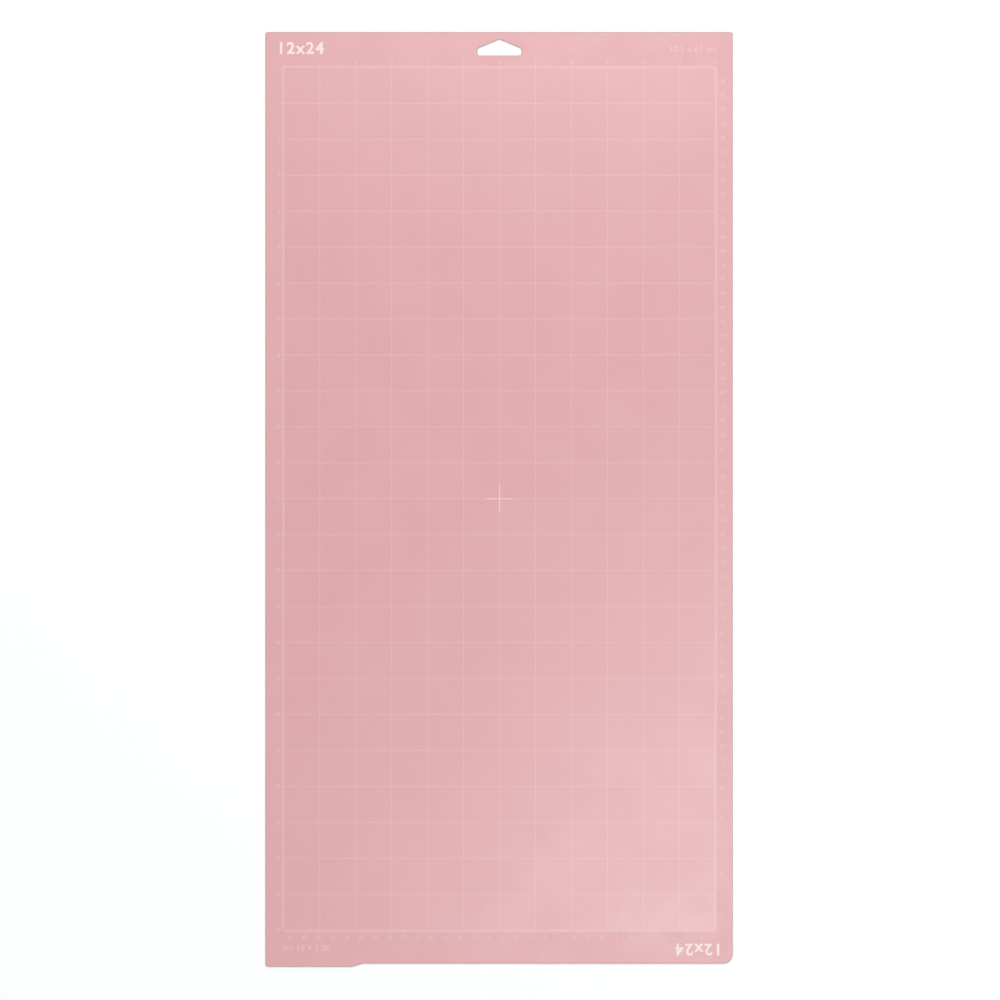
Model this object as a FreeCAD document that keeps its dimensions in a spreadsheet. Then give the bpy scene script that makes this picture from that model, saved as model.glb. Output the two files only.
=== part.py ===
"""Self healing mat: three bonded plies, a grip coat on the working face and pale printed measures.

Frame: millimetres, +Z out of the printed face, +Y towards the edge with the hang slot, origin at the
centre of the mat's bounding rectangle on its underside.
"""

import FreeCAD
import Part
import Sketcher
import math
import os

OUTPUT_FOLDER = "parts"
PLACING_TOLERANCE = 1e-4
SHEET = "Dimensions"

# The driving dimensions, in millimetres unless a name says otherwise.
DIMENSIONS = {
    # Outline of the mat, seen from above.
    "mat_width": 330.2,
    "mat_length": 660.4,
    "lip_drop": 2.3,
    "lip_flat": 61.0,
    "lip_ramp": 8.0,
    "corner_radius": 1.6,
    "round_corner_radius": 6.6,
    # Plies, from the table up.
    "bottom_thickness": 0.5,
    "core_thickness": 0.4,
    "top_thickness": 0.5,
    "coat_thickness": 0.1,
    "ink_thickness": 0.04,
    # Hang slot, a flat-based opening with a low roof whose peak takes the peg.
    "slot_width": 31.2,
    "slot_height": 11.6,
    "slot_end_height": 5.1,
    "slot_base_drop": 16.6,
    "slot_radius": 1.8,
    # Printed field.
    "unit_square": 25.4,
    "squares_across": 12,
    "squares_along": 24,
    "field_shift": 0.3,
    "field_drop": 25.0,
    "grid_line": 0.5,
    "border_line": 0.9,
    "cross_span": 19.0,
    "cross_line": 0.55,
    # Rulers.
    "ruler_base": 0.3,
    "inch_tick_line": 0.35,
    "inch_tick_length": 1.8,
    "metric_step": 1.0,
    "metric_tick_line": 0.25,
    "metric_tick_length": 2.8,
    "label_gap": 0.6,
    "label_height": 2.6,
    "label_line": 0.36,
    # Size marks, placed from the field's centre.
    "bold_mark_height": 8.0,
    "bold_mark_line": 1.3,
    "bold_mark_across": 139.6,
    "bold_mark_along": 318.6,
    "fine_mark_height": 4.4,
    "fine_mark_line": 0.5,
    "fine_mark_across": 136.6,
    "fine_mark_along": 317.8,
}

# A tick's rank is the first divisor of its number, and gives its share of the longest tick's length.
INCH_TICKS_PER_UNIT = 8
INCH_TICK_SHARES = ((8, 1.0), (4, 0.8), (2, 0.6), (1, 0.4))
METRIC_TICKS_PER_UNIT = 10
METRIC_TICK_SHARES = ((10, 1.0), (5, 0.75), (1, 0.5))

# Straight pen strokes of each printed character, on a grid six units tall.
GLYPH_HEIGHT = 6.0
GLYPH_GAP = 1.9
STROKES = {
    "0": [[(0, 1), (1, 0), (3, 0), (4, 1), (4, 5), (3, 6), (1, 6), (0, 5), (0, 1)]],
    "1": [[(0, 5), (1, 6), (1, 0)]],
    "2": [[(0, 5), (1, 6), (3, 6), (4, 5), (4, 4), (0, 0), (4, 0)]],
    "3": [[(0, 6), (4, 6), (2, 3.6), (4, 2.4), (4, 1), (3, 0), (1, 0), (0, 1)]],
    "4": [[(3, 0), (3, 6), (0, 2), (4, 2)]],
    "5": [[(4, 6), (0, 6), (0, 3.6), (3, 3.6), (4, 2.6), (4, 1), (3, 0), (0, 0)]],
    "6": [[(3, 6), (0, 3), (0, 1), (1, 0), (3, 0), (4, 1), (4, 2.4), (3, 3.4), (0.4, 3.4)]],
    "7": [[(0, 6), (4, 6), (1, 0)]],
    "8": [
        [(1, 3.2), (0, 4.2), (0, 5), (1, 6), (3, 6), (4, 5), (4, 4.2), (3, 3.2), (1, 3.2)],
        [(1, 3.2), (0, 2.2), (0, 1), (1, 0), (3, 0), (4, 1), (4, 2.2), (3, 3.2)],
    ],
    "9": [[(1, 0), (4, 3), (4, 5), (3, 6), (1, 6), (0, 5), (0, 3.6), (1, 2.6), (3.6, 2.6)]],
    "x": [[(0, 0), (3, 3.6)], [(0, 3.6), (3, 0)]],
    "c": [[(3, 0), (1, 0), (0, 1), (0, 2.6), (1, 3.6), (3, 3.6)]],
    "m": [[(0, 0), (0, 3.6), (4, 3.6), (5, 2.6), (5, 0)], [(2.5, 3.6), (2.5, 0)]],
    ".": [[(0, 0), (0.5, 0)], [(0, 0.5), (0.5, 0.5)]],
    " ": [],
}
SPACE_WIDTH = 1.4
BOLD_MARK = "12x24"
FINE_MARK = "30.5 x 61 cm"


def make_sheet(doc):
    """Keep every driving dimension in a cell of its own, with its name as the alias."""
    sheet = doc.addObject("Spreadsheet::Sheet", SHEET)
    for row, (name, size) in enumerate(DIMENSIONS.items(), start=1):
        sheet.set(f"A{row}", name)
        sheet.set(f"B{row}", str(size))
        sheet.setAlias(f"B{row}", name)
    doc.recompute()
    return sheet


def linked(expression):
    """Point each dimension's name in an expression at its cell."""
    words = expression.split()
    return " ".join(f"{SHEET}.{word}" if word in DIMENSIONS else word for word in words)


def drive(target, prop, expression):
    """Bind one property to the sheet."""
    target.setExpression(prop, linked(expression))


FIELD_WIDTH = "( squares_across * unit_square )"
FIELD_LENGTH = "( squares_along * unit_square )"
INNER_WIDTH = f"( {FIELD_WIDTH} - border_line )"
INNER_LENGTH = f"( {FIELD_LENGTH} - border_line )"
FIELD_X = "field_shift"
FIELD_Y = f"( mat_length / 2 - field_drop - {FIELD_LENGTH} / 2 )"
PLIES_TOP = "( bottom_thickness + core_thickness + top_thickness )"
COAT_INK_Z = f"( {PLIES_TOP} + coat_thickness - ink_thickness )"


def new_body(doc, name, height="0"):
    """Start a body at a height above the table."""
    body = doc.addObject("PartDesign::Body", name)
    body.Label = name
    drive(body, "Placement.Base.z", height)
    return body


def new_printed_body(doc, name, height):
    """Start a body at the printed field's centre."""
    body = new_body(doc, name, height)
    drive(body, "Placement.Base.x", FIELD_X)
    drive(body, "Placement.Base.y", FIELD_Y)
    return body


def flat_sketch(body, name):
    """Start a sketch on the body's own XY plane."""
    planes = [plane for plane in body.Origin.OriginFeatures if plane.Role == "XY_Plane"]
    sketch = body.newObject("Sketcher::SketchObject", f"{body.Name}_{name}")
    sketch.AttachmentSupport = (planes[0], [""])
    sketch.MapMode = "FlatFace"
    return sketch


def draw_polygon(sketch, corners):
    """Draw a closed polygon, each corner a pair of expressions across and along the mat."""
    count = len(corners)
    turns = [2 * math.pi * index / count for index in range(count)]
    start = [FreeCAD.Vector(math.cos(turn), math.sin(turn), 0) for turn in turns]
    first = sketch.GeometryCount
    for index in range(count):
        sketch.addGeometry(Part.LineSegment(start[index], start[(index + 1) % count]))
    for index in range(count):
        following = first + (index + 1) % count
        sketch.addConstraint(Sketcher.Constraint("Coincident", first + index, 2, following, 1))
    for index, corner in enumerate(corners):
        for kind, expression, value in zip(("DistanceX", "DistanceY"), corner, start[index]):
            rule = Sketcher.Constraint(kind, -1, 1, first + index, 1, value)
            place = sketch.addConstraint(rule)
            drive(sketch, f"Constraints[{place}]", expression)


def draw_rectangle(sketch, centre, sides):
    """Draw a rectangle about a centre, all four values expressions."""
    corners = []
    for across, along in (("-", "-"), ("+", "-"), ("+", "+"), ("-", "+")):
        corner_x = f"{centre[0]} {across} {sides[0]} / 2"
        corner_y = f"{centre[1]} {along} {sides[1]} / 2"
        corners.append((corner_x, corner_y))
    draw_polygon(sketch, corners)


def pad(body, sketch, name, thickness):
    """Raise a sketch by a thickness."""
    feature = body.newObject("PartDesign::Pad", f"{body.Name}_{name}")
    feature.Profile = sketch
    drive(feature, "Length", thickness)
    sketch.Visibility = False
    return feature


def upright_edges(shape, spots):
    """Name the vertical edges that stand on the given spots."""
    names = []
    for number, edge in enumerate(shape.Edges, start=1):
        ends = [vertex.Point for vertex in edge.Vertexes]
        if len(ends) < 2 or math.hypot(ends[0].x - ends[1].x, ends[0].y - ends[1].y) > PLACING_TOLERANCE:
            continue
        for across, along in spots:
            if math.hypot(ends[0].x - across, ends[0].y - along) < PLACING_TOLERANCE:
                names.append(f"Edge{number}")
    return names


def round_corners(doc, body, base, name, spots, radius):
    """Round the vertical edges on the given spots."""
    doc.recompute()
    names = upright_edges(base.Shape, spots)
    if len(names) != len(spots):
        raise RuntimeError(f"{body.Label}: {name} found {len(names)} of {len(spots)} edges")
    feature = body.newObject("PartDesign::Fillet", f"{body.Name}_{name}")
    feature.Base = (base, names)
    drive(feature, "Radius", radius)
    return feature


def make_ply(doc, sheet, name, height, thickness):
    """Make one full-size ply: the mat's outline with its lower left lip, and the hang slot."""
    body = new_body(doc, name, height)
    sketch = flat_sketch(body, "outline")
    left, right = "- mat_width / 2", "mat_width / 2"
    low, high = "- mat_length / 2", "mat_length / 2"
    edge = f"{low} + lip_drop"
    flat_end = f"{left} + lip_flat"
    ramp_end = f"{flat_end} + lip_ramp"
    outline = [(left, low), (flat_end, low), (ramp_end, edge), (right, edge), (right, high), (left, high)]
    draw_polygon(sketch, outline)
    slot_left = "field_shift - slot_width / 2"
    slot_right = "field_shift + slot_width / 2"
    slot_base = "mat_length / 2 - slot_base_drop"
    slot_end = f"{slot_base} + slot_end_height"
    slot_peak = f"{slot_base} + slot_height"
    slot = [
        (slot_left, slot_base),
        (slot_right, slot_base),
        (slot_right, slot_end),
        ("field_shift", slot_peak),
        (slot_left, slot_end),
    ]
    draw_polygon(sketch, slot)
    blank = pad(body, sketch, "blank", thickness)

    half_width = sheet.mat_width / 2
    half_length = sheet.mat_length / 2
    sharp_spots = [(-half_width, -half_length), (-half_width, half_length), (half_width, half_length)]
    round_spot = (half_width, -half_length + sheet.lip_drop)
    base_along = half_length - sheet.slot_base_drop
    slot_spots = [(sheet.field_shift, base_along + sheet.slot_height)]
    for side in (-1, 1):
        across = sheet.field_shift + side * sheet.slot_width / 2
        slot_spots.append((across, base_along))
        slot_spots.append((across, base_along + sheet.slot_end_height))
    sharp = round_corners(doc, body, blank, "corners", sharp_spots, "corner_radius")
    rounded = round_corners(doc, body, sharp, "round_corner", [round_spot], "round_corner_radius")
    round_corners(doc, body, rounded, "slot_corners", slot_spots, "slot_radius")
    return body


def make_border(doc):
    """Make the printed frame around the field."""
    body = new_printed_body(doc, "border_print", PLIES_TOP)
    sketch = flat_sketch(body, "frame")
    for sign in ("+", "-"):
        sides = (f"( {FIELD_WIDTH} {sign} border_line )", f"( {FIELD_LENGTH} {sign} border_line )")
        draw_rectangle(sketch, ("0", "0"), sides)
    pad(body, sketch, "ink", "ink_thickness")
    return body


def make_cross(doc):
    """Make the bold cross on the field's centre, flush with the coat around it."""
    body = new_printed_body(doc, "centre_cross_print", COAT_INK_Z)
    for name, sides in (("across", ("cross_span", "cross_line")), ("along", ("cross_line", "cross_span"))):
        sketch = flat_sketch(body, name)
        draw_rectangle(sketch, ("0", "0"), sides)
        pad(body, sketch, f"{name}_ink", "ink_thickness")
    return body


def make_bar(doc, name, centre, sides, height):
    """Make a flat bar about a place on the field, its width, length and thickness in sides."""
    bar = doc.addObject("Part::Box", name)
    for prop, side in zip(("Length", "Width", "Height"), sides):
        drive(bar, prop, side)
    drive(bar, "Placement.Base.x", f"{FIELD_X} + {centre[0]} - {sides[0]} / 2")
    drive(bar, "Placement.Base.y", f"{FIELD_Y} + {centre[1]} - {sides[1]} / 2")
    drive(bar, "Placement.Base.z", height)
    return bar


def make_grid_lines(doc, sheet):
    """Make the one-inch grid inside the border as one lattice, flush with the coat around it."""
    lines = []
    column_sides = ("grid_line", INNER_LENGTH, "ink_thickness")
    row_sides = (INNER_WIDTH, "grid_line", "ink_thickness")
    for number in range(1, int(sheet.squares_across)):
        centre = (f"( {number} - squares_across / 2 ) * unit_square", "0")
        lines.append(make_bar(doc, f"column_{number}", centre, column_sides, COAT_INK_Z))
    for number in range(1, int(sheet.squares_along)):
        centre = ("0", f"( {number} - squares_along / 2 ) * unit_square")
        lines.append(make_bar(doc, f"row_{number}", centre, row_sides, COAT_INK_Z))
    lattice = doc.addObject("Part::MultiFuse", "grid_lines")
    lattice.Shapes = lines
    lattice.Refine = True
    return lattice


def cut(doc, name, base, tool):
    """Take one object's shape out of another's."""
    feature = doc.addObject("Part::Cut", name)
    feature.Label = name
    feature.Base = base
    feature.Tool = tool
    return feature


def make_grip_coat(doc, grid_lines, cross):
    """Make the tacky coat over the field, with the grid and the cross set into its face."""
    sides = (INNER_WIDTH, INNER_LENGTH, "coat_thickness")
    blank = make_bar(doc, "coat_blank", ("0", "0"), sides, PLIES_TOP)
    grooved = cut(doc, "coat_grooved", blank, grid_lines)
    return cut(doc, "grip_coat", grooved, cross)


def field_place(sheet, turned):
    """Find the placement at the field's centre on the top ply, turned half round for the far end."""
    length = sheet.squares_along * sheet.unit_square
    across = sheet.field_shift
    along = sheet.mat_length / 2 - sheet.field_drop - length / 2
    height = sheet.bottom_thickness + sheet.core_thickness + sheet.top_thickness
    turn = FreeCAD.Rotation(FreeCAD.Vector(0, 0, 1), 180 if turned else 0)
    return FreeCAD.Placement(FreeCAD.Vector(across, along, height), turn)


def add_print(doc, sheet, name, shape, turned):
    """Add printed work that was drawn about the field's centre."""
    feature = doc.addObject("Part::Feature", name)
    feature.Label = name
    feature.Shape = shape
    feature.Placement = field_place(sheet, turned)
    return feature


def raised(face, sheet):
    """Give a flat face the thickness of the ink."""
    return face.extrude(FreeCAD.Vector(0, 0, sheet.ink_thickness))


def flat_face(points):
    """Make a face from its corners in order."""
    corners = [FreeCAD.Vector(across, along, 0) for across, along in points]
    return Part.Face(Part.makePolygon(corners + corners[:1]))


def tick_length(number, shares, longest):
    """Find a tick's length from the first divisor that its number has."""
    for divisor, share in shares:
        if number % divisor == 0:
            return longest * share
    raise ValueError("the last divisor must be 1")


def ruler_edge(sheet, along):
    """Return the ruler's length, and a function that places a point on it from the zero corner.

    The zero corner is the field's upper left one. A point is given by how far it is along the ruler
    and how far it is outside the border.
    """
    half_width = sheet.squares_across * sheet.unit_square / 2
    half_length = sheet.squares_along * sheet.unit_square / 2
    outside = sheet.border_line / 2

    def on_side(travel, reach):
        return (-half_width - outside - reach, half_length - travel)

    def on_top(travel, reach):
        return (-half_width + travel, half_length + outside + reach)

    if along:
        return 2 * half_length, on_side
    return 2 * half_width, on_top


def comb_outline(first, last, step, line, base, reaches):
    """Outline the ticks from first to last on a base line that starts at the tick before them."""
    outline = [((first - 1) * step + line / 2, 0), ((first - 1) * step + line / 2, base)]
    for number in range(first, last + 1):
        reach = reaches(number)
        before = number * step - line / 2
        after = number * step + line / 2
        outline += [(before, base), (before, reach), (after, reach)]
        if number < last:
            outline.append((after, base))
    outline.append((last * step + line / 2, 0))
    return outline


def make_ticks(doc, sheet, name, along, step, line, longest, shares, turned):
    """Make a ruler's ticks, each whole unit's as one comb on a thin base line against the border."""
    length, place = ruler_edge(sheet, along)
    count = int(length / step + PLACING_TOLERANCE)
    per_unit = shares[0][0]

    def reaches(number):
        return tick_length(number, shares, longest)

    outlines = [[(-line / 2, 0), (-line / 2, longest), (line / 2, longest), (line / 2, 0)]]
    for first in range(1, count + 1, per_unit):
        last = min(first + per_unit - 1, count)
        outlines.append(comb_outline(first, last, step, line, sheet.ruler_base, reaches))
    solids = []
    for outline in outlines:
        face = flat_face([place(travel, reach) for travel, reach in outline])
        solids.append(raised(face, sheet))
    return add_print(doc, sheet, name, Part.makeCompound(solids), turned)


def stroke_face(start, end, line):
    """Make the flat bar of one pen stroke, with square ends half a line past its points."""
    length = math.hypot(end[0] - start[0], end[1] - start[1])
    run = ((end[0] - start[0]) / length, (end[1] - start[1]) / length)
    half = line / 2
    corners = []
    for centre, way, sides in ((start, -1, (1, -1)), (end, 1, (-1, 1))):
        tip = (centre[0] + way * half * run[0], centre[1] + way * half * run[1])
        for side in sides:
            corners.append((tip[0] - side * half * run[1], tip[1] + side * half * run[0]))
    return flat_face(corners)


def glyph_width(letter):
    """Find how wide a character is, in grid units."""
    points = [point for path in STROKES[letter] for point in path]
    return max(point[0] for point in points) if points else SPACE_WIDTH


def glyph_face(letter, height, line):
    """Draw one character with its lower left corner at the origin."""
    scale = (height - line) / GLYPH_HEIGHT
    bars = []
    for path in STROKES[letter]:
        points = [(across * scale + line / 2, along * scale + line / 2) for across, along in path]
        bars += [stroke_face(start, end, line) for start, end in zip(points, points[1:])]
    return bars[0].multiFuse(bars[1:]).removeSplitter()


def text_width(text, height, line):
    """Find a text's width, in millimetres."""
    scale = (height - line) / GLYPH_HEIGHT
    units = sum(glyph_width(letter) for letter in text) + GLYPH_GAP * (len(text) - 1)
    return units * scale + line


def text_solids(text, centre, height, line, sheet, glyphs):
    """Set a text about a centre, with the solids of its characters kept for reuse in glyphs."""
    scale = (height - line) / GLYPH_HEIGHT
    across = centre[0] - text_width(text, height, line) / 2
    solids = []
    for letter in text:
        if STROKES[letter]:
            if letter not in glyphs:
                glyphs[letter] = raised(glyph_face(letter, height, line), sheet)
            for solid in glyphs[letter].Solids:
                corner = FreeCAD.Vector(across, centre[1] - height / 2, 0)
                solids.append(solid.translated(corner))
        across += (glyph_width(letter) + GLYPH_GAP) * scale
    return solids


def make_labels(doc, sheet, name, along, step, inner_reach, turned):
    """Make a ruler's numerals, one at each whole unit, all starting the same way out from the border."""
    length, place = ruler_edge(sheet, along)
    height, line = sheet.label_height, sheet.label_line
    glyphs = {}
    solids = []
    for number in range(1, int(length / step + PLACING_TOLERANCE) + 1):
        text = str(number)
        depth = text_width(text, height, line) if along else height
        centre = place(number * step, inner_reach + depth / 2)
        solids += text_solids(text, centre, height, line, sheet, glyphs)
    return add_print(doc, sheet, name, Part.makeCompound(solids), turned)


def make_mark(doc, sheet, name, text, centre, height, line, turned):
    """Make a size mark about a centre."""
    solids = text_solids(text, centre, height, line, sheet, {})
    return add_print(doc, sheet, name, Part.makeCompound(solids), turned)


def make_rulers(doc, sheet):
    """Make the inch rulers from the upper left corner, and the metric ones from the lower right."""
    parts = []
    inch_step = sheet.unit_square / INCH_TICKS_PER_UNIT
    inch_ticks = (inch_step, sheet.inch_tick_line, sheet.inch_tick_length, INCH_TICK_SHARES, False)
    inch_labels = (sheet.unit_square, sheet.inch_tick_length + sheet.label_gap, False)
    for side, along in (("top", False), ("left", True)):
        parts.append(make_ticks(doc, sheet, f"inch_ticks_{side}", along, *inch_ticks))
        parts.append(make_labels(doc, sheet, f"inch_numerals_{side}", along, *inch_labels))
    metric_unit = sheet.metric_step * METRIC_TICKS_PER_UNIT
    metric_ticks = (
        sheet.metric_step,
        sheet.metric_tick_line,
        sheet.metric_tick_length,
        METRIC_TICK_SHARES,
        True,
    )
    metric_labels = (metric_unit, sheet.metric_tick_length + sheet.label_gap, True)
    for side, along in (("bottom", False), ("right", True)):
        parts.append(make_ticks(doc, sheet, f"cm_ticks_{side}", along, *metric_ticks))
        parts.append(make_labels(doc, sheet, f"cm_numerals_{side}", along, *metric_labels))
    return parts


def make_marks(doc, sheet):
    """Make the bold and the fine size mark at each end, the lower pair turned half round."""
    parts = []
    bold_centre = (-sheet.bold_mark_across, sheet.bold_mark_along)
    fine_centre = (sheet.fine_mark_across, sheet.fine_mark_along)
    for end, turned in (("top", False), ("bottom", True)):
        bold = (BOLD_MARK, bold_centre, sheet.bold_mark_height, sheet.bold_mark_line)
        fine = (FINE_MARK, fine_centre, sheet.fine_mark_height, sheet.fine_mark_line)
        parts.append(make_mark(doc, sheet, f"size_mark_{end}", *bold, turned))
        parts.append(make_mark(doc, sheet, f"metric_mark_{end}", *fine, turned))
    return parts


def check(doc, parts):
    """Stop if any object failed or any sub-part has no sound shape."""
    for item in doc.Objects:
        if "Invalid" in item.State or "Error" in item.State:
            raise RuntimeError(f"{item.Label} failed: {item.State}")
    for part in parts:
        if part.Shape.isNull() or not part.Shape.isValid() or not part.Shape.Solids:
            raise RuntimeError(f"{part.Label} has no sound shape")


def main():
    doc = FreeCAD.newDocument("self_healing_mat")
    sheet = make_sheet(doc)
    parts = [
        make_ply(doc, sheet, "bottom_skin", "0", "bottom_thickness"),
        make_ply(doc, sheet, "core_sheet", "bottom_thickness", "core_thickness"),
        make_ply(doc, sheet, "top_skin", "bottom_thickness + core_thickness", "top_thickness"),
    ]
    grid_lines = make_grid_lines(doc, sheet)
    cross = make_cross(doc)
    parts += [cross, make_border(doc), cut(doc, "grid_print", grid_lines, cross)]
    parts.append(make_grip_coat(doc, grid_lines, cross))
    parts += make_rulers(doc, sheet)
    parts += make_marks(doc, sheet)
    doc.recompute()
    check(doc, parts)
    os.makedirs(OUTPUT_FOLDER, exist_ok=True)
    for part in parts:
        part.Shape.exportStep(f"{OUTPUT_FOLDER}/{part.Label}.step")


main()
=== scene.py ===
import math

import bmesh
import bpy
from mathutils import Matrix, Vector


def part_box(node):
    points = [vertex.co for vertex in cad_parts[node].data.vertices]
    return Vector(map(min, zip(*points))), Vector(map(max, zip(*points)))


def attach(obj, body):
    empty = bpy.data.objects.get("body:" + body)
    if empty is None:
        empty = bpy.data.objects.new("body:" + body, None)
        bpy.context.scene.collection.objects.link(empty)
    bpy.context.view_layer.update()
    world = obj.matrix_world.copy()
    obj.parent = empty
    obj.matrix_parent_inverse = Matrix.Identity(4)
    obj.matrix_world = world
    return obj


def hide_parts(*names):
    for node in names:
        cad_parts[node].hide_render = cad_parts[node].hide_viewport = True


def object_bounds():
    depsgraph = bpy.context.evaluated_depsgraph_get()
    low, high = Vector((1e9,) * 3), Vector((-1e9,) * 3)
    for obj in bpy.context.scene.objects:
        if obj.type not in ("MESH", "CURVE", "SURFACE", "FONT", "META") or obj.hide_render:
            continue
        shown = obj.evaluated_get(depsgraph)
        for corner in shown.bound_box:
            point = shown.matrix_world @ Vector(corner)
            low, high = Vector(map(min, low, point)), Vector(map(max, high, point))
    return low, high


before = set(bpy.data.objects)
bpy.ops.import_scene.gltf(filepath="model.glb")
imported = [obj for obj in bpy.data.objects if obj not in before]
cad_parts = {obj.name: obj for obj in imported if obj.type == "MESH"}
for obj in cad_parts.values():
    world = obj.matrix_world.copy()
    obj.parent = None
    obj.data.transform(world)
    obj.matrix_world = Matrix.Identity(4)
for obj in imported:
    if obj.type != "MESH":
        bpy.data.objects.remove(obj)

cad_low, cad_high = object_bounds()

# Sizes in metres, in the row frame. Points nearer to each other than WELD count as one.
INCH = 0.0254
CENTIMETRE = 0.01
BORDER_LINE = 0.0009
INK_DEPTH = 0.00004
WELD = 0.000001
TOP_ROLL = 0.00045
UNDER_ROLL = 0.0002
CORE_ROLL = 0.00004

# How finely rolled edges and letters are divided, and how far weighted normals favour flat faces.
ROLL_SEGMENTS = 4
LETTER_STEPS = 4
FLATNESS_WEIGHT = 100

# Angles in radians: what counts as flat, and what as an edge.
FLAT_ANGLE = math.radians(0.5)
EDGE_ANGLE = math.radians(40)

# Printed field, read from the border's box, and the numerals' height, from the top ruler's.
# COUNT_SLACK, in units, lets a field that rounding leaves a hair short still count its last unit.
border_low, border_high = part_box("border_print")
FIELD_CENTRE = (border_low + border_high) / 2
HALF_ACROSS = (border_high.x - border_low.x - BORDER_LINE) / 2
HALF_ALONG = (border_high.y - border_low.y - BORDER_LINE) / 2
INK_BASE = border_low.z
numeral_low, numeral_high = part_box("inch_numerals_top")
NUMERAL_HEIGHT = numeral_high.y - numeral_low.y
COUNT_SLACK = 0.001

# Generic size marks, and how far the bold one's outline moves outwards, in parts of the type size.
# Thicker strokes need wider letter spacing, or they would run into each other.
BOLD_MARK = "12x24"
FINE_MARK = "30.5 x 61 cm"
BOLDNESS = 0.028
SPACING_PER_BOLDNESS = 7.0

# Edges of a letter's outline up to SLIVER of the type size long are closed up, because thickening
# would turn them inside out. MITRE_LIMIT keeps sharp corners from growing into spikes.
SLIVER = 0.004
MITRE_LIMIT = 0.3

# Depths of the relief in the materials, in metres.
SWELL_DEPTH = 0.0004
RIPPLE_DEPTH = 0.00002
GRAIN_DEPTH = 0.00002
EMBOSS_DEPTH = 0.0001
DRAG_DEPTH = 0.00004
TACK_DEPTH = 0.00001
PORE_DEPTH = 0.00001

# Noise keeps mostly between these values, so a range is spread from the one to the other.
NOISE_LOW = 0.2
NOISE_HIGH = 0.8

# Colours, linear RGB.
PINK = (0.645, 0.316, 0.334)
PINK_CLOUD = (0.656, 0.326, 0.342)
PINK_DUST = (0.676, 0.350, 0.364)
UNDERSIDE_PINK = (0.570, 0.270, 0.290)
CORE_PINK = (0.800, 0.620, 0.620)
CORE_STREAK = (0.700, 0.450, 0.460)
# The two rim pinks below are painted shade: darker and greyer than the face, they stand in for the shade
# along the rolled rims, and differ from each other by faint wear.
RIM_SHADE_PINK = (0.470, 0.272, 0.293)
RIM_SHADE_WORN = (0.540, 0.298, 0.315)
BOLD_WHITE = (0.840, 0.680, 0.660)
CROSS_PINK = (0.850, 0.560, 0.550)
RULER_PINK = (0.735, 0.465, 0.472)
GRID_PINK = (0.690, 0.400, 0.414)
FLOOR_WHITE = (0.930, 0.930, 0.930)

# Studio: places and sizes in metres, powers in watts.
SKY_STRENGTH = 0.56
WARM_LIGHT = (1.0, 1.0, 0.97)
COOL_LIGHT = (0.84, 0.98, 1.0)
SOFTBOXES = {
    "near_light": ((0.5, -0.62, 3.0), 0.9, 22, COOL_LIGHT),
    "far_light": ((0.15, 1.0, 3.0), 0.7, 22, WARM_LIGHT),
    "fill_light": ((0.8, 2.6, 3.0), 1.2, 34, WARM_LIGHT),
}
FLOOR_SIZE = 12
FLOOR_CELLS = 8
FLOOR_GAP = 0.00005

# Picture: the width it takes in at the mat's face, its middle, and the camera's range, in metres,
# and the lens and the sensor in millimetres.
FRAME_WIDTH = 0.7066
FRAME_CENTRE = (0.0006, -0.00045)
CAMERA_LENS = 200
SENSOR_WIDTH = 36
CAMERA_RANGE = 50


def new_material(name):
    """Start a node material and return it with its node tree and its shader."""
    material = bpy.data.materials.new(name)
    material.use_nodes = True
    tree = material.node_tree
    return material, tree, tree.nodes["Principled BSDF"]


def add_noise(tree, scale, detail=3.0, stretch=(1, 1, 1)):
    """Add noise in the row frame, with the scale in repeats a metre."""
    place = tree.nodes.new("ShaderNodeTexCoord")
    mapping = tree.nodes.new("ShaderNodeMapping")
    mapping.inputs["Scale"].default_value = stretch
    noise = tree.nodes.new("ShaderNodeTexNoise")
    noise.inputs["Scale"].default_value = scale
    noise.inputs["Detail"].default_value = detail
    tree.links.new(place.outputs["Object"], mapping.inputs["Vector"])
    tree.links.new(mapping.outputs["Vector"], noise.inputs["Vector"])
    return noise.outputs["Fac"]


def add_range(tree, value, low, high):
    """Spread a noise value smoothly over a range."""
    spread = tree.nodes.new("ShaderNodeMapRange")
    spread.interpolation_type = "SMOOTHSTEP"
    spread.inputs["From Min"].default_value = NOISE_LOW
    spread.inputs["From Max"].default_value = NOISE_HIGH
    spread.inputs["To Min"].default_value = low
    spread.inputs["To Max"].default_value = high
    tree.links.new(value, spread.inputs["Value"])
    return spread.outputs["Result"]


def add_mix(tree, factor, first, second):
    """Mix two colours, each a colour or another node's output."""
    mix = tree.nodes.new("ShaderNodeMix")
    mix.data_type = "RGBA"
    tree.links.new(factor, mix.inputs["Factor"])
    for socket, colour in ((mix.inputs["A"], first), (mix.inputs["B"], second)):
        if isinstance(colour, tuple):
            socket.default_value = (*colour, 1.0)
        else:
            tree.links.new(colour, socket)
    return mix.outputs["Result"]


def wire(tree, shader, colour, roughness, relief):
    """Wire up a colour, a roughness and stacked bumps, each a height and its depth in metres."""
    tree.links.new(colour, shader.inputs["Base Color"])
    tree.links.new(roughness, shader.inputs["Roughness"])
    normal = None
    for height, depth in relief:
        bump = tree.nodes.new("ShaderNodeBump")
        bump.inputs["Distance"].default_value = depth
        tree.links.new(height, bump.inputs["Height"])
        if normal:
            tree.links.new(normal, bump.inputs["Normal"])
        normal = bump.outputs["Normal"]
    tree.links.new(normal, shader.inputs["Normal"])


def add_swell(tree):
    """Add the sheet's own slight unevenness, the same through every layer that lies on it."""
    return add_noise(tree, scale=9.0, detail=1.0), SWELL_DEPTH


def add_ripple(tree):
    """Add the long faint ripples of the tacky coat, which the inks share."""
    return add_noise(tree, scale=120.0, detail=2.0, stretch=(1, 0.25, 1)), RIPPLE_DEPTH


def add_grain(tree):
    """Add the fine leathery grain of PVC."""
    return add_noise(tree, scale=2600.0), GRAIN_DEPTH


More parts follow.
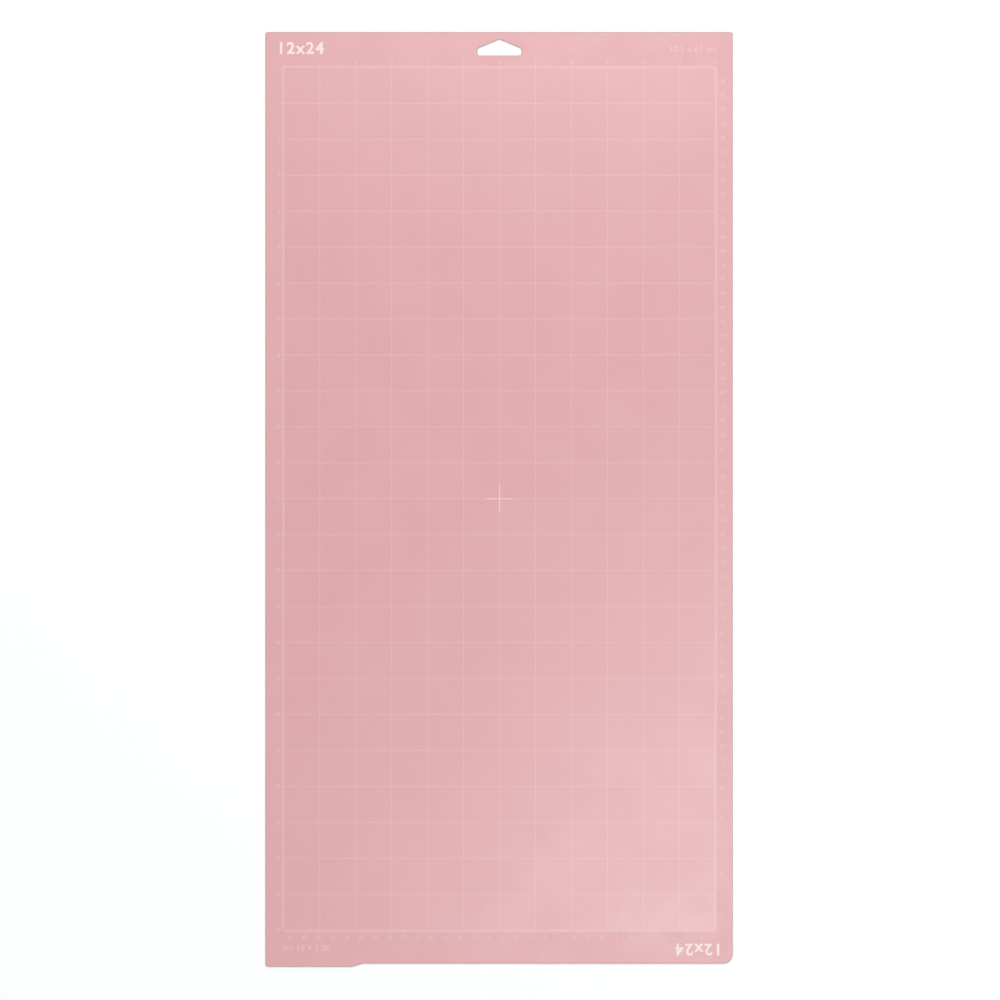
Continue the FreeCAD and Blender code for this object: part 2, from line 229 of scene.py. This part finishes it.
def add_emboss(tree):
    """Add an embossed net of small, nearly even cells."""
    place = tree.nodes.new("ShaderNodeTexCoord")
    cells = tree.nodes.new("ShaderNodeTexVoronoi")
    cells.inputs["Scale"].default_value = 700.0
    cells.inputs["Randomness"].default_value = 0.35
    tree.links.new(place.outputs["Object"], cells.inputs["Vector"])
    return cells.outputs["Distance"], EMBOSS_DEPTH


def top_vinyl():
    """The printed face's margin: soft satin PVC, faintly mottled, with a fine leathery grain."""
    material, tree, shader = new_material("top_vinyl")
    cloud = add_range(tree, add_noise(tree, scale=5.0, detail=2.0), low=0.0, high=1.0)
    speckle = add_range(tree, add_noise(tree, scale=900.0, detail=2.0), low=0.0, high=0.2)
    colour = add_mix(tree, speckle, add_mix(tree, cloud, PINK, PINK_CLOUD), PINK_DUST)
    roughness = add_range(tree, add_noise(tree, scale=40.0, detail=4.0), low=0.27, high=0.35)
    wire(tree, shader, colour, roughness, [add_swell(tree), add_grain(tree)])
    return material


def underside_vinyl():
    """Matt PVC with an embossed net that grips the table."""
    material, tree, shader = new_material("underside_vinyl")
    cloud = add_range(tree, add_noise(tree, scale=6.0, detail=2.0), low=0.0, high=1.0)
    colour = add_mix(tree, cloud, UNDERSIDE_PINK, PINK)
    roughness = add_range(tree, add_noise(tree, scale=60.0), low=0.55, high=0.7)
    wire(tree, shader, colour, roughness, [add_swell(tree), add_emboss(tree)])
    return material


def cut_edge():
    """The die-cut edge of a skin, pressed smooth, in painted shade: a darker, greyer pink than the face
    that stands in for the shade along the rolled rim, with faint wear.
    """
    material, tree, shader = new_material("cut_edge")
    wear = add_range(tree, add_noise(tree, scale=80.0, detail=3.0), low=0.0, high=1.0)
    colour = add_mix(tree, wear, RIM_SHADE_PINK, RIM_SHADE_WORN)
    roughness = add_range(tree, add_noise(tree, scale=400.0, detail=2.0), low=0.35, high=0.5)
    wire(tree, shader, colour, roughness, [add_grain(tree)])
    return material


def core_plastic():
    """The stiffer middle ply, paler and drier where the edge is cut, with drag marks from the die."""
    material, tree, shader = new_material("core_plastic")
    streaks = add_noise(tree, scale=300.0, detail=3.0, stretch=(1, 1, 8))
    colour = add_mix(tree, add_range(tree, streaks, low=0.0, high=1.0), CORE_PINK, CORE_STREAK)
    roughness = add_range(tree, add_noise(tree, scale=500.0, detail=2.0), low=0.55, high=0.75)
    drag = (add_noise(tree, scale=3000.0, detail=2.0), DRAG_DEPTH)
    wire(tree, shader, colour, roughness, [drag])
    return material


def grip_film():
    """The tacky coat: a smoother, slightly milky face with specks of caught dust."""
    material, tree, shader = new_material("grip_film")
    cloud = add_range(tree, add_noise(tree, scale=14.0, detail=4.0), low=0.0, high=1.0)
    dust = add_range(tree, add_noise(tree, scale=1100.0, detail=2.0), low=0.0, high=0.15)
    colour = add_mix(tree, dust, add_mix(tree, cloud, PINK, PINK_CLOUD), PINK_DUST)
    roughness = add_range(tree, add_noise(tree, scale=25.0, detail=4.0), low=0.23, high=0.29)
    tack = (add_noise(tree, scale=1800.0, detail=2.0), TACK_DEPTH)
    wire(tree, shader, colour, roughness, [add_swell(tree), add_ripple(tree), tack])
    return material


def ink(name, colour, cover, smoothest, roughest):
    """Screen-printed ink that lets some of the vinyl through where its cover is thinnest."""
    material, tree, shader = new_material(name)
    screened = add_range(tree, add_noise(tree, scale=700.0), low=cover, high=1.0)
    printed = add_mix(tree, screened, PINK, colour)
    noise = add_noise(tree, scale=400.0, detail=2.0)
    roughness = add_range(tree, noise, low=smoothest, high=roughest)
    pores = (add_noise(tree, scale=3200.0, detail=2.0), PORE_DEPTH)
    wire(tree, shader, printed, roughness, [add_swell(tree), add_ripple(tree), pores])
    return material


def dress(node, material):
    """Give a CAD node its material, in the one slot that it has."""
    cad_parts[node].material_slots[0].material = material


def add_piece(sheet, name, node, materials):
    """Turn a finished bmesh into a piece that stands for a CAD node."""
    mesh = bpy.data.meshes.new(name)
    sheet.to_mesh(mesh)
    sheet.free()
    for material in materials:
        mesh.materials.append(material)
    piece = bpy.data.objects.new(name, mesh)
    bpy.context.scene.collection.objects.link(piece)
    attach(piece, "root")
    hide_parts(node)
    return piece


def is_rim(edge, height):
    """Tell whether an edge of a ply is a sharp one that lies at a height."""
    level = all(abs(vertex.co.z - height) < WELD for vertex in edge.verts)
    return level and edge.calc_face_angle(0) > EDGE_ANGLE


def roll_ply(node, heights, roll, materials):
    """Rebuild a ply with its edges at some heights rolled over, in its last material."""
    sheet = bmesh.new()
    sheet.from_mesh(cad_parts[node].data)
    bmesh.ops.remove_doubles(sheet, verts=sheet.verts, dist=WELD)
    bmesh.ops.dissolve_limit(sheet, angle_limit=FLAT_ANGLE, verts=sheet.verts, edges=sheet.edges)
    bmesh.ops.bevel(
        sheet,
        geom=[edge for edge in sheet.edges if any(is_rim(edge, height) for height in heights)],
        offset=roll,
        segments=ROLL_SEGMENTS,
        profile=0.5,
        affect="EDGES",
        material=len(materials) - 1,
    )
    piece = add_piece(sheet, f"{node}_rolled", node, materials)
    piece.data.shade_smooth()
    piece.data.set_sharp_from_angle(angle=EDGE_ANGLE)
    even = piece.modifiers.new("even", "WEIGHTED_NORMAL")
    even.weight = FLATNESS_WEIGHT
    even.keep_sharp = True


def thicken(sheet, amount):
    """Move a flat sheet's outline outwards, to make its strokes bolder."""
    sides = {}
    for edge in sheet.edges:
        if edge.is_boundary:
            loop = edge.link_loops[0]
            run = (loop.link_loop_next.vert.co - loop.vert.co).normalized()
            for vertex in edge.verts:
                sides.setdefault(vertex, []).append(Vector((run.y, -run.x, 0)))
    for vertex, normals in sides.items():
        way = sum(normals, Vector()).normalized()
        vertex.co += way * amount / max(way.dot(normals[0]), MITRE_LIMIT)


def text_mesh(text, boldness):
    """Make a text's flat mesh at the type's own size."""
    curve = bpy.data.curves.new("lettering", "FONT")
    curve.body = text
    curve.resolution_u = LETTER_STEPS
    curve.space_character = 1 + boldness * SPACING_PER_BOLDNESS
    carrier = bpy.data.objects.new("lettering", curve)
    bpy.context.scene.collection.objects.link(carrier)
    bpy.context.view_layer.update()
    evaluated = carrier.evaluated_get(bpy.context.evaluated_depsgraph_get())
    mesh = bpy.data.meshes.new_from_object(evaluated)
    bpy.data.objects.remove(carrier)
    bpy.data.curves.remove(curve)
    sheet = bmesh.new()
    sheet.from_mesh(mesh)
    bmesh.ops.remove_doubles(sheet, verts=sheet.verts, dist=SLIVER)
    inner = [edge for edge in sheet.edges if not edge.is_boundary]
    bmesh.ops.beautify_fill(sheet, faces=sheet.faces[:], edges=inner)
    thicken(sheet, boldness)
    sheet.to_mesh(mesh)
    sheet.free()
    return mesh


def add_text(sheet, text, spot, height, turned, grow=0, boldness=0.0):
    """Add a text centred on a spot, or growing sideways from it where grow is -1 or 1."""
    mesh = text_mesh(text, boldness)
    low = Vector([min(vertex.co[axis] for vertex in mesh.vertices) for axis in range(3)])
    high = Vector([max(vertex.co[axis] for vertex in mesh.vertices) for axis in range(3)])
    scale = height / (high.y - low.y)
    half_width = scale * (high.x - low.x) / 2
    place = Matrix.Translation(spot + Vector((grow * half_width, 0, 0)))
    turn = Matrix.Rotation(math.pi if turned else 0, 4, "Z")
    mesh.transform(place @ turn @ Matrix.Scale(scale, 4) @ Matrix.Translation(-(low + high) / 2))
    sheet.from_mesh(mesh)
    bpy.data.meshes.remove(mesh)


def finish_lettering(sheet, node, material):
    """Give flat lettering its ink depth and flat shading, and let it stand for a CAD node."""
    grown = bmesh.ops.extrude_face_region(sheet, geom=list(sheet.faces))
    lifted = [item for item in grown["geom"] if isinstance(item, bmesh.types.BMVert)]
    bmesh.ops.translate(sheet, verts=lifted, vec=(0, 0, INK_DEPTH))
    bmesh.ops.recalc_face_normals(sheet, faces=sheet.faces)
    for face in sheet.faces:
        face.smooth = False
    add_piece(sheet, f"{node}_lettering", node, (material,))


def letter_ruler(node, unit, along, turned, material):
    """Set a ruler's numerals where the CAD numerals are, one at each whole unit from its zero corner."""
    low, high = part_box(node)
    way = -1 if turned else 1
    zero = FIELD_CENTRE + way * Vector((-HALF_ACROSS, HALF_ALONG, 0))
    span = 2 * (HALF_ALONG if along else HALF_ACROSS)
    near_side = low.x if turned else high.x
    sheet = bmesh.new()
    for number in range(1, int(span / unit + COUNT_SLACK) + 1):
        travel = way * number * unit
        if along:
            spot = Vector((near_side, zero.y - travel, INK_BASE))
            add_text(sheet, str(number), spot, NUMERAL_HEIGHT, turned, grow=-way)
        else:
            spot = Vector((zero.x + travel, (low.y + high.y) / 2, INK_BASE))
            add_text(sheet, str(number), spot, NUMERAL_HEIGHT, turned)
    finish_lettering(sheet, node, material)


def letter_mark(node, text, turned, material, boldness=0.0):
    """Set a size mark in the CAD mark's box."""
    low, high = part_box(node)
    spot = Vector(((low.x + high.x) / 2, (low.y + high.y) / 2, INK_BASE))
    sheet = bmesh.new()
    add_text(sheet, text, spot, high.y - low.y, turned, boldness=boldness)
    finish_lettering(sheet, node, material)


def add_floor():
    """Lay a plain pale floor under the mat."""
    cells = {"x_subdivisions": FLOOR_CELLS, "y_subdivisions": FLOOR_CELLS}
    bpy.ops.mesh.primitive_grid_add(size=FLOOR_SIZE, **cells)
    floor = bpy.context.object
    floor.name = "floor"
    floor.location.z = cad_low.z - FLOOR_GAP
    material, tree, shader = new_material("floor_paper")
    shader.inputs["Base Color"].default_value = (*FLOOR_WHITE, 1.0)
    roughness = add_range(tree, add_noise(tree, scale=30.0), low=0.75, high=0.9)
    tree.links.new(roughness, shader.inputs["Roughness"])
    floor.data.materials.append(material)


def add_softbox(name, place, size, power, colour):
    """Hang a square studio light that looks at the middle of the mat."""
    data = bpy.data.lights.new(name, "AREA")
    data.shape = "SQUARE"
    data.size = size
    data.energy = power
    data.color = colour
    light = bpy.data.objects.new(name, data)
    light.location = place
    light.rotation_euler = (-Vector(place)).to_track_quat("-Z", "Y").to_euler()
    bpy.context.scene.collection.objects.link(light)


def add_sky():
    """Surround the studio with even white light."""
    world = bpy.data.worlds.new("studio")
    world.use_nodes = True
    background = world.node_tree.nodes["Background"]
    background.inputs["Color"].default_value = (1, 1, 1, 1)
    background.inputs["Strength"].default_value = SKY_STRENGTH
    bpy.context.scene.world = world


def add_camera():
    """Look straight down on the mat through a long lens, with the hang slot at the top."""
    data = bpy.data.cameras.new("camera")
    data.lens = CAMERA_LENS
    data.sensor_width = SENSOR_WIDTH
    data.clip_end = CAMERA_RANGE
    camera = bpy.data.objects.new("camera", data)
    distance = FRAME_WIDTH * CAMERA_LENS / SENSOR_WIDTH
    camera.location = (*FRAME_CENTRE, cad_high.z + distance)
    bpy.context.scene.collection.objects.link(camera)
    bpy.context.scene.camera = camera


def make_plies():
    """Rebuild the three plies with their edges rolled, and dress the coat."""
    under_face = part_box("bottom_skin")[0].z
    core_faces = [corner.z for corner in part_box("core_sheet")]
    top_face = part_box("top_skin")[1].z
    # The skins' rolled rims are dressed in painted shade, a darker greyer pink for the shade along the
    # mat's edge.
    rim_shade_material = cut_edge()
    roll_ply("bottom_skin", [under_face], UNDER_ROLL, (underside_vinyl(), rim_shade_material))
    roll_ply("core_sheet", core_faces, CORE_ROLL, (core_plastic(),))
    roll_ply("top_skin", [top_face], TOP_ROLL, (top_vinyl(), rim_shade_material))
    dress("grip_coat", grip_film())


def make_prints():
    """Ink the lines and ticks, and set the numerals and marks in type."""
    bold_ink = ink("bold_ink", BOLD_WHITE, cover=0.85, smoothest=0.35, roughest=0.45)
    ruler_ink = ink("ruler_ink", RULER_PINK, cover=0.7, smoothest=0.30, roughest=0.38)
    grid_ink = ink("grid_ink", GRID_PINK, cover=0.7, smoothest=0.24, roughest=0.30)
    cross_ink = ink("cross_ink", CROSS_PINK, cover=0.85, smoothest=0.30, roughest=0.38)
    dress("centre_cross_print", cross_ink)
    dress("grid_print", grid_ink)
    dress("border_print", grid_ink)
    for node in ("inch_ticks_top", "inch_ticks_left", "cm_ticks_bottom", "cm_ticks_right"):
        dress(node, ruler_ink)
    for node, unit, along, turned in (
        ("inch_numerals_top", INCH, False, False),
        ("inch_numerals_left", INCH, True, False),
        ("cm_numerals_bottom", CENTIMETRE, False, True),
        ("cm_numerals_right", CENTIMETRE, True, True),
    ):
        letter_ruler(node, unit, along, turned, ruler_ink)
    for end, turned in (("top", False), ("bottom", True)):
        letter_mark(f"size_mark_{end}", BOLD_MARK, turned, bold_ink, BOLDNESS)
        letter_mark(f"metric_mark_{end}", FINE_MARK, turned, ruler_ink)


def make_studio():
    """Set up the floor, the lights and the camera."""
    add_floor()
    add_sky()
    for name, (place, size, power, colour) in SOFTBOXES.items():
        add_softbox(name, place, size, power, colour)
    add_camera()
    bpy.context.scene.view_settings.view_transform = "Standard"


make_plies()
make_prints()
make_studio()
